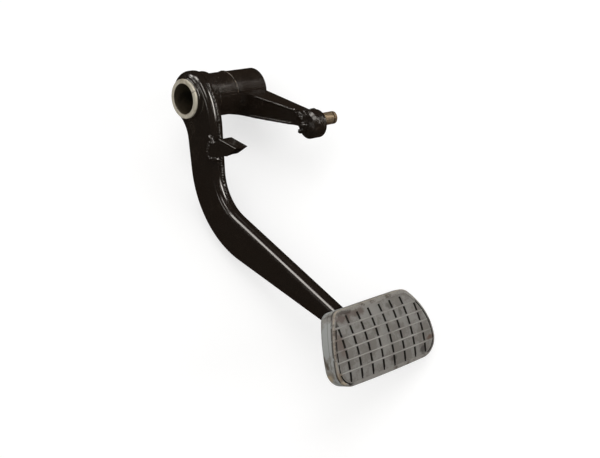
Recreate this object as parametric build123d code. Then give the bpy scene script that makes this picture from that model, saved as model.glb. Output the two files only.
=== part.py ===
from build123d import *
from math import cos, radians, sin, sqrt, tan
import os

os.makedirs("parts", exist_ok=True)

# A hanging brake pedal, all in millimetres. X runs along the pivot tube to the driver's right,
# +Y points forward in the car and +Z points up. The origin lies on the pivot axis, in the middle
# of the arm's thickness. Side views are drawn on Plane.YZ, so their first number is Y and their
# second is Z.

# Helpers for cuts: one length reaches past the whole pedal, the other just past a face.
through_all = 200.0
overcut = 2.0

# Pivot tube: a strip rolled until its edges meet, which leaves a fine open seam along it.
bore_radius = 10.0
tube_wall = 3.2
tube_radius = bore_radius + tube_wall
tube_left = -8.75
tube_length = 61.9
tube_right = tube_left + tube_length
tube_seam_gap = 0.45
tube_seam_height = 6.4
tube_chamfer = 0.3

# Arm: two pressed halves, welded edge to edge into a flat hollow arm.
sheet = 2.0
arm_half = 5.25
bend_outer = 4.0
arm_seam_x = 1.0
eye_margin = 1.3
front_corner_y = -0.6
front_corner_z = -71.65
front_upper = 109.5
front_lower = 226.6
front_bend = 31.3
back_corner_y = 30.7
back_corner_z = -86.4
back_upper = 105.45
back_lower = 218.4
back_bend = 65.5
neck_blend = 20.0
cheek_run = 49.5
front_run = 155.0
back_run = 176.0
left_collar_radius = 14.3
left_collar_x = -7.2
collar_root = 1.0
collar_lip = 0.8
right_collar_x = 9.9
groove = 0.4

# Side lever for the pushrod: a left pressing with a long collar on the tube, and a right
# pressing that wraps the tube and closes the lever.
lever_sheet = 1.5
lever_collar = tube_radius + lever_sheet
right_collar_radius = lever_collar + sheet
eye_radius = right_collar_radius + eye_margin
collar_start = 3.75
tube_proud = 0.5
lever_root_width = 20.5
flare = 4.5
lever_right = tube_right - tube_proud
lever_left = lever_right - lever_root_width
wrap_start = lever_left - flare - 0.5
top_slope = 30.8
top_point_y = -15.0
top_point_z = -5.0
top_overlap = 12.0
top_short = 20.0
low_slope = 23.3
lever_slope = 27.0
left_taper_from = 21.0
left_taper = 3.9
right_taper_from = 15.0
right_taper = 6.1
taper_run = 60.0
lever_corner = 2.6
wrap_lip = 0.6
lever_end = 75.0

# Boss and pin at the lever's end.
boss_y = -59.6
boss_z = -40.4
boss_radius = 9.3
boss_left = lever_left + 4.35
boss_rim = 1.3
boss_length = 10.8
boss_bevel = 1.8
pin_radius = 4.25
shank_radius = 4.75
pin_lift = 1.9
pin_chamfer = 0.6
pin_free = 14.9
pin_blind = 3.0
pin_end = boss_left + boss_length + pin_free
tongue_back = 5.2
tongue_rise = 3.4
tongue_radius = 6.0
clip_groove_from_end = 2.6
clip_groove_width = 0.9
clip_groove_depth = 0.45

# Stop bracket: a folded channel that sits astride the arm and meets the stop.
bracket_sheet = 1.5
bracket_left = -arm_half - bracket_sheet
bracket_width = 10.5
bracket_fold = 0.7
bracket_slope = 35.8
bracket_top_y = -22.8
bracket_top_z = -34.0
bracket_reach = 16.3
bracket_belly = 11.8
bracket_drop = 1.9
bracket_heel_y = -7.0
heel_rise = 1.5
shoulder_back = 2.2
shoulder_drop = 1.7
toe_back = 3.7
toe_drop = 0.3

# Foot plate and rubber, both curved about one axis that lies behind the pad.
pad_front_y = -113.9
pad_z = -179.1
pad_crown = 71.4
pad_axis_y = pad_front_y + pad_crown
pad_thick = 12.0
plate_cover = 5.5
plate_sheet = 3.0
plate_inset = 2.5
lip_inset = 6.5
pad_top = 22.3
pad_bottom = -22.0
pad_bottom_bow = 0.8
pad_side_radius = 46.6
pad_side_x = 4.0
pad_side_z = -10.0
pad_flare = 0.5
pad_back_lift = 3.0
pad_back_round = 3.4
top_corner = 8.5
bottom_corner = 12.0
slit_columns = 8
slit_width = 1.25
slit_pitch = 9.34
slit_depth = 3.2
outer_rib = 2
rib_pitch = 6.34
rib_width = 0.95
rib_height = 0.35
slit_gap = 1.7
slit_top = 18.2
slit_margin = 3.0
right_slit_top = 12.0
rim_width = 1.6
rim_groove = 0.8
rim_groove_depth = 1.4
rim_groove_top = 17.3
rim_groove_from = 34.0
rim_round = 1.3

# Weld beads.
bead_width = 2.2
bead_proud = 0.65
bead_shift = -0.5
front_bead_top = 4.5
front_bead_bottom = -69.2
rear_bead_top = -11.0
rear_bead_bottom = -101.0
bead_split_y = 8.0
ring_bead = 1.5
ring_lap = 0.6
ring_flat = 0.4
ring_toe = 0.5
wrap_bead = 0.8
wrap_sink = 0.25
wrap_gap = 0.6
seam_bead = 1.05
seam_inset = 0.6
top_seam_sink = 0.4
top_seam_from = 8.5
top_seam_short = 30.0
low_seam_sink = 0.8
low_seam_from = 20.0
low_seam_short = 17.0
boss_bead = 1.0
tip_bead = 1.1
tip_bead_proud = 0.2
flange_bead = 2.2
flange_weld_width = 12.0
flange_weld_height = 28.0
flange_weld_back = 1.0
flange_weld_drop = 4.0
flange_weld_set = 0.3
flange_weld_depth = 3.0
flange_weld_lap = 0.2
plate_bead = 1.8
plate_weld_stop = 20.0


def ray(angle, length=1.0):
    """A vector in a side view, its angle counted from +Y towards +Z."""
    return Vector(cos(radians(angle)), sin(radians(angle))) * length


def side_prism(face, start, end):
    """A side view given thickness along X."""
    return extrude(Plane.YZ.offset(start) * face, end - start)


def rod_along_x(radius, start, end, y=0.0, z=0.0):
    return side_prism(Pos(y, z) * Circle(radius), start, end)


def tube_along_x(outer, inner, start, end):
    return side_prism(Circle(outer) - Circle(inner), start, end)


def nearest(shape, point):
    return shape.vertices().sort_by_distance(point)[0]


def arm_outline():
    """The arm seen from the side: a round eye, a cheek that runs tangent into the front edge,
    and two edges that each bend once and close in on the foot plate."""
    front_corner = Vector(front_corner_y, front_corner_z)
    back_corner = Vector(back_corner_y, back_corner_z)
    cheek_start = front_corner + ray(front_upper, cheek_run)
    inward = ray(front_upper - 90)
    edge_distance = -inward.dot(cheek_start)
    cheek = (cheek_start.length**2 - eye_radius**2) / (2 * (edge_distance - eye_radius))
    centre = cheek_start + inward * cheek
    cheek_end = centre.normalized() * -eye_radius
    middle = centre + ((cheek_end - centre) + (cheek_start - centre)).normalized() * cheek
    front_end = front_corner + ray(front_lower, front_run)
    back_end = back_corner + ray(back_lower, back_run)
    back_side = ray(back_upper - 90)
    back_distance = back_side.dot(back_corner)
    neck = back_side * back_distance + ray(back_upper) * -sqrt(eye_radius**2 - back_distance**2)
    outline = make_face([
        ThreePointArc(cheek_end, middle, cheek_start),
        Line(cheek_start, front_corner),
        Line(front_corner, front_end),
        Line(front_end, back_end),
        Line(back_end, back_corner),
        Line(back_corner, neck),
        Line(neck, cheek_end),
    ])
    outline = Circle(eye_radius) + outline
    outline = fillet(nearest(outline, front_corner), front_bend)
    outline = fillet(nearest(outline, back_corner), back_bend)
    return fillet(nearest(outline, neck), neck_blend)


def pad_outline(inset=0.0, flare=0.0, lift=0.0):
    """The pad seen by the driver, in X and Z about its own centre: a straight top, a bowed foot
    and two sides that are arcs. The flare widens it and the lift raises its sides and foot."""
    side = pad_side_radius + flare - inset
    middle_z = pad_side_z + lift
    top = pad_top - inset
    foot = pad_bottom + lift / 2 + inset

    def side_x(z):
        return sqrt(side**2 - (z - middle_z) ** 2) - pad_side_x

    face = make_face([
        Line((-side_x(top), top), (side_x(top), top)),
        ThreePointArc((side_x(top), top), (side_x(0), 0), (side_x(foot), foot)),
        ThreePointArc((side_x(foot), foot), (0, foot - pad_bottom_bow), (-side_x(foot), foot)),
        ThreePointArc((-side_x(foot), foot), (-side_x(0), 0), (-side_x(top), top)),
    ])
    tops = face.vertices().group_by(Axis.Y)[-1]
    face = fillet(tops, top_corner - inset)
    bottoms = [v for v in face.vertices() if v.Y < middle_z]
    return fillet(bottoms, bottom_corner - inset)


def pad_view(depth):
    """The plane of the driver's view of the pad, at a depth behind the crown's highest line."""
    return Plane(origin=(0, pad_front_y + depth, pad_z), x_dir=(1, 0, 0), z_dir=(0, -1, 0))


def pad_ring(outer, inner):
    """A ring about the axis that the pad curves round, as wide as the pad and more."""
    return side_prism(Pos(pad_axis_y, pad_z) * (Circle(outer) - Circle(inner)), -through_all, through_all)


def pad_layer(face, outer, inner):
    """The slice of a front view between two radii about the pad's axis."""
    return extrude(pad_view(2 * pad_thick) * face, 3 * pad_thick) & pad_ring(outer, inner)


outline = arm_outline()
arm_foot_z = pad_z - pad_thick
inner_outline = offset(outline, -sheet)
plate_back = pad_crown - plate_cover - plate_sheet
past_plate = Box(through_all, 7 * pad_thick, 9 * pad_thick)
past_plate = Pos(0, pad_front_y - pad_thick, pad_z - pad_thick) * past_plate
past_plate -= rod_along_x(plate_back, -through_all, through_all, pad_axis_y, pad_z)


def arm_half_shell(face_x):
    """One pressed half: a flat side, a rounded bend all round it and a flange to the seam."""
    inward = -1 if face_x > 0 else 1
    outer = side_prism(outline, face_x, arm_seam_x)
    rim = outer.faces().sort_by(Axis.X)[-1 if face_x > 0 else 0]
    outer = fillet([e for e in rim.edges() if e.center().Z > arm_foot_z], bend_outer)
    if face_x < 0:
        lips = outer.faces().sort_by(Axis.X)[-1]
        outer = chamfer([e for e in lips.edges() if e.center().Z > arm_foot_z], groove)
    hollow_x = face_x + inward * sheet
    hollow = side_prism(inner_outline, hollow_x, arm_seam_x)
    floor = hollow.faces().sort_by(Axis.X)[-1 if face_x > 0 else 0]
    hollow = fillet([e for e in floor.edges() if e.center().Z > arm_foot_z], bend_outer - sheet)
    return outer, hollow


left_outer, left_hollow = arm_half_shell(-arm_half)
right_outer, right_hollow = arm_half_shell(arm_half)

# The left half's eye is drawn outward into a collar round the tube.
left_collar = rod_along_x(left_collar_radius, left_collar_x, -arm_half + sheet)
left_outer += left_collar
rounds = left_outer.edges().filter_by(GeomType.CIRCLE)
left_outer = fillet(rounds.sort_by_distance((-arm_half, 0, -left_collar_radius))[0], collar_root)
rim = left_outer.edges().sort_by_distance((left_collar_x, 0, left_collar_radius))[0]
left_outer = fillet(rim, collar_lip)
arm_left_shell = left_outer - left_hollow - past_plate
arm_left_shell -= rod_along_x(tube_radius, -through_all, through_all)

# The right half's eye is drawn outward too, wide enough to take the lever's collar.
right_outer += rod_along_x(right_collar_radius, arm_half - sheet, right_collar_x)
rim = right_outer.edges().sort_by_distance((right_collar_x, 0, right_collar_radius))[0]
right_outer = fillet(rim, collar_lip)
arm_right_shell = right_outer - right_hollow - past_plate
arm_right_shell -= rod_along_x(lever_collar, -through_all, through_all)

# Welds along the arm's seam: one down the front from the eye, one down the back.
bead_start = arm_seam_x + bead_shift - bead_width / 2
weld_band = side_prism(offset(outline, bead_proud), bead_start, bead_start + bead_width)
rims = weld_band.edges().group_by(Axis.X)
round_rims = [e for e in rims[0] + rims[-1] if e.center().Z > arm_foot_z]
weld_band = fillet(round_rims, bead_proud) - side_prism(inner_outline, -through_all, through_all)


def side_zone(y0, y1, z0, z1):
    """A rectangle of the side view, taken through the arm's whole thickness."""
    zone = Pos((y0 + y1) / 2, (z0 + z1) / 2) * Rectangle(y1 - y0, z1 - z0)
    return side_prism(zone, -through_all, through_all)


front_zone = side_zone(-through_all, bead_split_y, front_bead_bottom, front_bead_top)
rear_zone = side_zone(bead_split_y, through_all, rear_bead_bottom, rear_bead_top)
arm_front_seam_weld = weld_band & front_zone
arm_rear_seam_weld = weld_band & rear_zone
arm_left_shell -= arm_front_seam_weld + arm_rear_seam_weld
arm_right_shell -= arm_front_seam_weld + arm_rear_seam_weld

# The tube, with its ends broken and the open seam facing the driver.
pivot_tube = tube_along_x(tube_radius, bore_radius, tube_left, tube_right)
ends = pivot_tube.edges().group_by(Axis.X)
pivot_tube = chamfer(ends[0] + ends[-1], tube_chamfer)
seam_cut = Pos(tube_left + tube_length / 2, -tube_radius + tube_wall / 2, 0)
seam_box = Box(tube_length + overcut, tube_wall + overcut, tube_seam_gap)
seam_cut = Rot(X=-tube_seam_height) * seam_cut * seam_box
pivot_tube -= seam_cut

# Side view of the lever: a flat top, and an underside tangent to its collar.
top_point = Vector(top_point_y, top_point_z)
low_tangent = ray(low_slope - 90, lever_collar)
lever_outline = make_face(Polyline(
    top_point + ray(top_slope, top_overlap), top_point - ray(top_slope, lever_end - top_short),
    low_tangent - ray(low_slope, lever_end), low_tangent, close=True))
along = Vector(0, -cos(radians(lever_slope)), -sin(radians(lever_slope)))
across = Vector(0, sin(radians(lever_slope)), -cos(radians(lever_slope)))
plan = Plane(origin=(0, 0, 0), x_dir=along, z_dir=across)


def plan_prism(*points):
    """A prism drawn looking down on the lever: distance along the lever, then X."""
    flip = 1 if plan.y_dir.X > 0 else -1
    face = make_face(Polyline(*[(s, flip * x) for s, x in points], close=True))
    return extrude(plan * face, through_all, both=True)


def left_of(face_x, radius, corner):
    """Everything left of the lever's left wall, cleared from the collar by a rounded corner."""
    zone = tube_along_x(through_all, radius, wrap_start, face_x)
    edge = zone.edges().sort_by_distance((face_x, 0, radius))[0]
    zone = fillet(edge, corner)
    rise = tan(radians(left_taper)) * taper_run
    taper_to = left_taper_from + taper_run
    return zone + plan_prism(
        (left_taper_from, face_x - overcut), (left_taper_from, face_x),
        (taper_to, face_x + rise), (taper_to, face_x - overcut))


wall_outside = left_of(lever_left, lever_collar, flare)
wall_inside = left_of(lever_left + lever_sheet, tube_radius, flare + lever_sheet)
lever_prism = side_prism(lever_outline, wrap_start, tube_right)

# The boss is a turned barrel, blind on its left, and the pin's thicker shank is pressed into it.
boss_right = boss_left + boss_length
pin_z = boss_z + pin_lift
boss_blank = rod_along_x(boss_radius, boss_left, boss_right, boss_y, boss_z)
boss_blank = chamfer(boss_blank.edges().group_by(Axis.X)[0], boss_bevel)
boss_blank = chamfer(boss_blank.edges().group_by(Axis.X)[-1], boss_rim)
shank = rod_along_x(shank_radius, boss_left + pin_blind, boss_right, boss_y, pin_z)
lever_boss = boss_blank - shank
pin = rod_along_x(pin_radius, boss_right, pin_end, boss_y, pin_z)
pin = chamfer(pin.edges().group_by(Axis.X)[-1], pin_chamfer)
clip_ring = Pos(boss_y, pin_z) * (Circle(pin_radius + 1) - Circle(pin_radius - clip_groove_depth))
clip_x = pin_end - clip_groove_from_end
pushrod_pin = shank + pin - side_prism(clip_ring, clip_x - clip_groove_width, clip_x)

# The left pressing ends in a rounded tongue on the boss's left face.
tongue = Pos(boss_y + tongue_back, boss_z + tongue_rise) * Circle(tongue_radius)
tongue_y = boss_y + tongue_back
before_tongue = Pos(tongue_y + through_all / 2, boss_z + tongue_rise) * Rectangle(through_all, through_all)
tongue_zone = side_prism(before_tongue + tongue, 0, tube_right)
lever_left_shell = tube_along_x(lever_collar, tube_radius, collar_start, wrap_start)
lever_left_shell += (wall_inside - wall_outside) & lever_prism & tongue_zone
lever_left_shell -= boss_blank

fall = tan(radians(right_taper)) * taper_run
taper_end = right_taper_from + taper_run
lever_body = lever_prism & plan_prism(
    (-through_all, wrap_start - overcut), (-through_all, lever_right), (right_taper_from, lever_right),
    (taper_end, lever_right - fall), (taper_end, wrap_start - overcut))
middle_x = (lever_left + lever_right) / 2
long_edges = [e for e in lever_body.edges() if e.length > lever_end / 2 and e.center().X > middle_x]
lever_body = fillet(long_edges, lever_corner)
wrap = rod_along_x(lever_collar, wrap_start, lever_right)
wrap = fillet(wrap.edges().group_by(Axis.X)[-1], wrap_lip)
hollow_right = lever_right - lever_sheet
lever_hollow = side_prism(offset(lever_outline, -lever_sheet), wrap_start - overcut, tube_right)
lever_hollow &= plan_prism(
    (-through_all, wrap_start - overcut), (-through_all, hollow_right), (right_taper_from, hollow_right),
    (taper_end, hollow_right - fall), (taper_end, wrap_start - overcut))
lever_right_shell = lever_body + wrap - lever_hollow
lever_right_shell -= rod_along_x(tube_radius, collar_start, tube_right)
lever_right_shell -= wall_inside & lever_prism
lever_right_shell -= rod_along_x(boss_radius, boss_left, tube_right, boss_y, boss_z)

# Welds of the lever: the collar to the arm, the seam round the tube, and the two long seams.
ring_profile = Plane.XY * make_face(Polyline(
    (right_collar_x - ring_lap, lever_collar), (right_collar_x - ring_lap, lever_collar + ring_bead),
    (right_collar_x + ring_flat, lever_collar + ring_bead),
    (right_collar_x + ring_bead, lever_collar + ring_toe), (right_collar_x + ring_bead, lever_collar),
    close=True))
collar_ring_weld = revolve(ring_profile, Axis.X)
collar_ring_weld -= arm_right_shell

wrap_ring = revolve(Pos(wrap_start, lever_collar - wrap_sink) * Circle(wrap_bead), Axis.X)
lever_wrap_weld = wrap_ring - side_prism(offset(lever_outline, wrap_gap), 0, tube_right)
lever_wrap_weld -= lever_left_shell + lever_right_shell


def seam_rod(point, direction, start, end):
    """A straight bead that follows the left wall's slanting edge."""
    path_start = point + direction * start
    path_end = point + direction * end
    run = path_end - path_start
    s0 = path_start.dot(Vector(along.Y, along.Z))
    s1 = path_end.dot(Vector(along.Y, along.Z))
    x0 = lever_left + seam_inset + tan(radians(left_taper)) * max(0.0, s0 - left_taper_from)
    x1 = lever_left + seam_inset + tan(radians(left_taper)) * max(0.0, s1 - left_taper_from)
    line = Line((x0, path_start.X, path_start.Y), (x1, path_end.X, path_end.Y))
    return sweep(Plane(origin=line @ 0, z_dir=line % 0) * Circle(seam_bead), path=line)


top_line = top_point - ray(top_slope + 90, top_seam_sink)
low_line = low_tangent + ray(low_slope + 90, low_seam_sink)
lever_top_seam_weld = seam_rod(top_line, ray(top_slope + 180), top_seam_from, lever_end - top_seam_short)
lever_bottom_seam_weld = seam_rod(low_line, ray(low_slope + 180), low_seam_from, lever_end - low_seam_short)
lever_top_seam_weld -= boss_blank
lever_bottom_seam_weld -= boss_blank
lever_left_shell -= lever_top_seam_weld + lever_bottom_seam_weld
lever_right_shell -= lever_top_seam_weld + lever_bottom_seam_weld

# One weld runs round the tongue on the boss's face, another round the boss where the right
# pressing ends.
tip_place = Pos(boss_left - tip_bead_proud, tongue_y, boss_z + tongue_rise) * Rot(Y=90)
tongue_weld = tip_place * Torus(tongue_radius, tip_bead)
tongue_weld -= side_zone(tongue_y + tongue_radius / 2, through_all, -through_all, through_all)
tongue_weld -= boss_blank + lever_left_shell + lever_right_shell
tongue_weld -= lever_top_seam_weld + lever_bottom_seam_weld
boss_weld = side_prism(offset(lever_outline, boss_bead), boss_left + boss_bevel, tube_right)
boss_weld &= rod_along_x(boss_radius + boss_bead, boss_left, tube_right, boss_y, boss_z)
boss_weld &= plan_prism(
    (right_taper_from, lever_left), (right_taper_from, lever_right + boss_bead),
    (taper_end, lever_right + boss_bead - fall), (taper_end, lever_left))
boss_weld -= lever_hollow + lever_left_shell + lever_right_shell + tongue_weld
boss_weld -= rod_along_x(boss_radius, boss_left, tube_right, boss_y, boss_z)
boss_weld -= lever_top_seam_weld + lever_bottom_seam_weld

# Stop bracket: its web is the sloping stop face, its flanges grip the arm's sides.
bracket_top = Vector(bracket_top_y, bracket_top_z)
bracket_tip = bracket_top - ray(bracket_slope, bracket_reach)
bracket_right = bracket_left + bracket_width
flange_shoulder = Vector(bracket_heel_y - shoulder_back, bracket_top_z - shoulder_drop)
flange_heel = Vector(bracket_heel_y, bracket_tip.Y + heel_rise)
flange_outline = make_face(Polyline(
    bracket_top, bracket_tip,
    Vector(bracket_tip.X + bracket_belly, bracket_tip.Y - bracket_drop),
    Vector(bracket_heel_y - toe_back, bracket_tip.Y - toe_drop),
    flange_heel, flange_shoulder, close=True))
web_normal = ray(90 + bracket_slope)
stop_bracket = side_prism(flange_outline, bracket_left, bracket_right)
web_middle = (bracket_top + bracket_tip) / 2
web = stop_bracket.faces().sort_by_distance((bracket_left, web_middle.X, web_middle.Y))
web = [f for f in web if abs(f.normal_at().X) < 0.5][0]
folds = [e for e in web.edges() if abs(e.tangent_at(0.5).X) < 0.5]
stop_bracket = fillet(folds, bracket_fold)
under_web = make_face(Polyline(
    bracket_top - web_normal * bracket_sheet + ray(bracket_slope, through_all),
    bracket_tip - web_normal * bracket_sheet - ray(bracket_slope, through_all),
    bracket_tip - web_normal * through_all - ray(bracket_slope, through_all),
    bracket_top - web_normal * through_all + ray(bracket_slope, through_all), close=True))
stop_bracket -= side_prism(under_web, -arm_half, bracket_right - bracket_sheet)
arm_filled = left_outer + right_outer + arm_front_seam_weld
stop_bracket -= arm_filled

# Its welds run round the back of each flange, on the arm's side and on its front.
flange_ring = offset(flange_outline, flange_bead) - flange_outline
weld_zone = Rectangle(flange_weld_width, flange_weld_height)
weld_zone = Pos(bracket_heel_y - flange_weld_back, bracket_top_z - flange_weld_drop) * weld_zone
bracket_left_weld = side_prism(
    flange_ring & weld_zone, bracket_left + flange_weld_set, bracket_left + flange_weld_depth)
bracket_left_weld -= arm_filled
bracket_right_weld = side_prism(
    offset(flange_outline, flange_weld_lap) & weld_zone, bracket_right, bracket_right + flange_bead)
bracket_right_weld -= arm_filled

# Foot plate, and the weld round the arm's open end behind it.
foot_plate = pad_layer(pad_outline(plate_inset), plate_back + plate_sheet, plate_back)
plate_ring = Pos(pad_axis_y, pad_z) * (Circle(plate_back) - Circle(plate_back - plate_bead))
weld_body = side_prism(offset(outline, plate_bead), -arm_half - plate_bead, arm_half + plate_bead)
weld_body &= side_prism(plate_ring, -through_all, through_all)
weld_body -= side_zone(pad_axis_y - plate_weld_stop, through_all, pad_z - through_all, pad_z + through_all)
foot_plate_weld = weld_body - side_prism(outline, -arm_half, arm_half)

# Pedal rubber: a curved tread, hollowed for the foot plate, with a lip that grips its edge.
blank = loft([
    pad_view(2 * pad_thick) * pad_outline(0, 2 * pad_flare, 2 * pad_back_lift),
    pad_view(-pad_thick) * pad_outline(0, -pad_flare, -pad_back_lift),
])
blank &= pad_ring(pad_crown, pad_crown - pad_thick)
back_edges = blank.faces().sort_by(Axis.Y)[-1].edges()
blank = fillet(back_edges, pad_back_round)
front_edges = blank.faces().sort_by(Axis.Y)[0].edges()
blank = fillet(front_edges, rim_round)

rib_rows = [Pos(0, k * rib_pitch) for k in range(-outer_rib, outer_rib + 1)]
ribs = Sketch() + rib_rows * Rectangle(through_all, rib_width)
gaps = Sketch() + rib_rows * Rectangle(through_all, slit_gap)
slit_bottom = pad_bottom - pad_bottom_bow
columns = Sketch()
for k in range(slit_columns):
    top = right_slit_top if k == slit_columns - 1 else slit_top
    column_x = (k - (slit_columns - 1) / 2) * slit_pitch
    columns += Pos(column_x, (top + slit_bottom) / 2) * Rectangle(slit_width, top - slit_bottom)
slits = (columns & pad_outline(slit_margin)) - gaps
field = pad_outline(rim_width + rim_groove) - ribs
rim_ring = pad_outline(rim_width) - pad_outline(rim_width + rim_groove)
groove_height = rim_groove_top - pad_bottom
groove_zone = Pos(0, (rim_groove_top + pad_bottom) / 2) * Rectangle(through_all, groove_height)
side_run = Rectangle(through_all, through_all)
left_run = rim_ring & groove_zone & Pos(-rim_groove_from - through_all / 2, 0) * side_run
left_run -= gaps
right_run = rim_ring & Pos(rim_groove_from + through_all / 2, 0) * side_run

tread = blank - pad_layer(slits, pad_crown + overcut, pad_crown - slit_depth)
tread -= pad_layer(field, pad_crown + overcut, pad_crown - rib_height)
tread -= pad_layer(left_run + right_run, pad_crown + overcut, pad_crown - rim_groove_depth)
window = pad_layer(pad_outline(lip_inset), plate_back, plate_back - pad_thick)
pedal_rubber = tread - foot_plate - window

for name, piece in [
    ("pivot_tube", pivot_tube),
    ("arm_left_shell", arm_left_shell),
    ("arm_right_shell", arm_right_shell),
    ("arm_front_seam_weld", arm_front_seam_weld),
    ("arm_rear_seam_weld", arm_rear_seam_weld),
    ("lever_left_shell", lever_left_shell),
    ("lever_right_shell", lever_right_shell),
    ("collar_ring_weld", collar_ring_weld),
    ("lever_wrap_weld", lever_wrap_weld),
    ("lever_top_seam_weld", lever_top_seam_weld),
    ("lever_bottom_seam_weld", lever_bottom_seam_weld),
    ("lever_boss", lever_boss),
    ("pushrod_pin", pushrod_pin),
    ("tongue_weld", tongue_weld),
    ("boss_weld", boss_weld),
    ("stop_bracket", stop_bracket),
    ("bracket_left_weld", bracket_left_weld),
    ("bracket_right_weld", bracket_right_weld),
    ("foot_plate", foot_plate),
    ("foot_plate_weld", foot_plate_weld),
    ("pedal_rubber", pedal_rubber),
]:
    print(name, len(piece.solids()), round(piece.volume, 1), piece.bounding_box())
    export_step(piece, f"parts/{name}.step")
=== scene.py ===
# %% [markdown]
# A hanging brake pedal: a hollow pressed arm on a rolled pivot tube, a short side lever with a
# bare pin, a stop bracket and a grey rubber pad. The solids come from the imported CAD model, so
# this script dresses them: it builds the finishes, ripples the weld beads and lights the part
# as it lies on a pale table.

# %% Load the fixed frame
from math import atan2, radians, sqrt

import bpy
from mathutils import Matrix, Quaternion, Vector, noise


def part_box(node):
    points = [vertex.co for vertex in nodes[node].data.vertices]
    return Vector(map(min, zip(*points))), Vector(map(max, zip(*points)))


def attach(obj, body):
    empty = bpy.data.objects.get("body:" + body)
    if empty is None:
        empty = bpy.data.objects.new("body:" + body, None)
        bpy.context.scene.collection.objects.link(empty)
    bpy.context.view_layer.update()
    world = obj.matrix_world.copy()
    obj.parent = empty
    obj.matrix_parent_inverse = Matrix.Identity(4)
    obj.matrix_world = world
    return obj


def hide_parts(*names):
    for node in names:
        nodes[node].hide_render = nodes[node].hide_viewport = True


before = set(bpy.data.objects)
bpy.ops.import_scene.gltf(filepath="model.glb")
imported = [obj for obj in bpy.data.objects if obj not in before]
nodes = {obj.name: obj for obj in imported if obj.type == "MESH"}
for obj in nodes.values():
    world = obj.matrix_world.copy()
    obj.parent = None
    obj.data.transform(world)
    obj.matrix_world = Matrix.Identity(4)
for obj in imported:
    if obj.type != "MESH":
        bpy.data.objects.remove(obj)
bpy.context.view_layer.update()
MM = 0.001

# %% [markdown]
# The camera stands about three quarters of a metre away, to the left of the pedal and in front
# of its pad. A long lens keeps the sides nearly parallel. The photograph was taken with the
# camera turned a little about its own line of sight, so the camera gets that turn after it has
# been aimed.

# %% Camera
scene = bpy.context.scene
camera_place = Vector((-469.161, -596.490, -116.637)) * MM
camera_aim = Vector((11.110, -54.521, -104.470)) * MM
camera_turn = radians(-15.7584)
lens_length = 68.163
sensor_width = 36.0

camera_data = bpy.data.cameras.new("view")
camera_data.lens = lens_length
camera_data.sensor_width = sensor_width
camera_data.clip_start = 0.01
camera = bpy.data.objects.new("view", camera_data)
scene.collection.objects.link(camera)
aimed = (camera_aim - camera_place).to_track_quat("-Z", "Y")
camera.rotation_mode = "QUATERNION"
camera.rotation_quaternion = aimed @ Quaternion((0, 0, 1), camera_turn)
camera.location = camera_place
scene.camera = camera
picture_right = camera.rotation_quaternion @ Vector((1, 0, 0))
picture_up = camera.rotation_quaternion @ Vector((0, 1, 0))
to_camera = camera.rotation_quaternion @ Vector((0, 0, 1))
print("camera distance:", round((camera_aim - camera_place).length, 3), "m")

# %% [markdown]
# Colours are written as they look on a screen, from 0 to 255, because that is how an eye or a
# colour picker reads them. The renderer counts in linear light, so each is turned into that.

# %% Colours
def linear(red, green, blue):
    """A colour read off a screen, turned into the renderer's linear values."""
    def one(value):
        value /= 255.0
        return value / 12.92 if value <= 0.04045 else ((value + 0.055) / 1.055) ** 2.4
    return (one(red), one(green), one(blue), 1.0)


print("middle grey on a screen, in linear light:", round(linear(128, 128, 128)[0], 3))

# %% [markdown]
# A node tree is easier to read when each line adds one node. The small class below adds nodes,
# sets their values and links them, for materials, shared groups and the world alike. Its
# methods are the few sums, steps and mixes that the finishes are made of.

# %% A short way to write node trees
class Wiring:
    """Adds nodes to one tree. Every input may be a plain value or another node's output."""

    def __init__(self, tree):
        self.tree = tree

    def add(self, kind, inputs=None, **settings):
        node = self.tree.nodes.new(kind)
        for name, value in settings.items():
            setattr(node, name, value)
        for name, value in (inputs or {}).items():
            self.feed(value, node.inputs[name])
        return node

    def feed(self, value, socket):
        if isinstance(value, bpy.types.NodeSocket):
            self.tree.links.new(value, socket)
        else:
            socket.default_value = value

    def math(self, operation, first, second=0.0):
        node = self.add("ShaderNodeMath", operation=operation)
        for socket, value in zip(node.inputs, (first, second)):
            self.feed(value, socket)
        return node.outputs[0]

    def product(self, *factors):
        """Several values or masks multiplied."""
        result = factors[0]
        for factor in factors[1:]:
            result = self.math("MULTIPLY", result, factor)
        return result

    def outside(self, mask):
        """One where the mask is zero, and zero where it is one."""
        return self.math("SUBTRACT", 1.0, mask)

    def hypot(self, first, second):
        return self.math("SQRT", self.math("ADD", self.math("POWER", first, 2.0),
                                           self.math("POWER", second, 2.0)))

    def vector(self, operation, first, second=None):
        """A vector operation, given back as its node."""
        node = self.add("ShaderNodeVectorMath", operation=operation)
        self.feed(first, node.inputs[0])
        if second is not None:
            self.feed(second, node.inputs[1])
        return node

    def mix(self, factor, first, second):
        """A colour mix."""
        node = self.add("ShaderNodeMix", data_type="RGBA")
        self.feed(factor, node.inputs[0])
        self.feed(first, node.inputs[6])
        self.feed(second, node.inputs[7])
        return node.outputs[2]

    def step(self, value, low, high, out_low=0.0, out_high=1.0):
        """A smooth step from low to high. It falls where low is the larger."""
        node = self.add("ShaderNodeMapRange", interpolation_type="SMOOTHSTEP")
        for name, number in (("Value", value), ("From Min", low), ("From Max", high),
                             ("To Min", out_low), ("To Max", out_high)):
            self.feed(number, node.inputs[name])
        return node.outputs[0]

    def noise(self, where, scale, detail=3.0, rough=0.55):
        node = self.add("ShaderNodeTexNoise", {"Vector": where, "Scale": scale,
                                               "Detail": detail, "Roughness": rough})
        return node.outputs["Fac"]

    def place(self):
        """The object's own coordinates, in metres."""
        return self.add("ShaderNodeTexCoord").outputs["Object"]

    def place_xyz(self):
        return self.add("ShaderNodeSeparateXYZ", {"Vector": self.place()}).outputs


print("wiring class ready, for materials, groups and the world")

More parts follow.
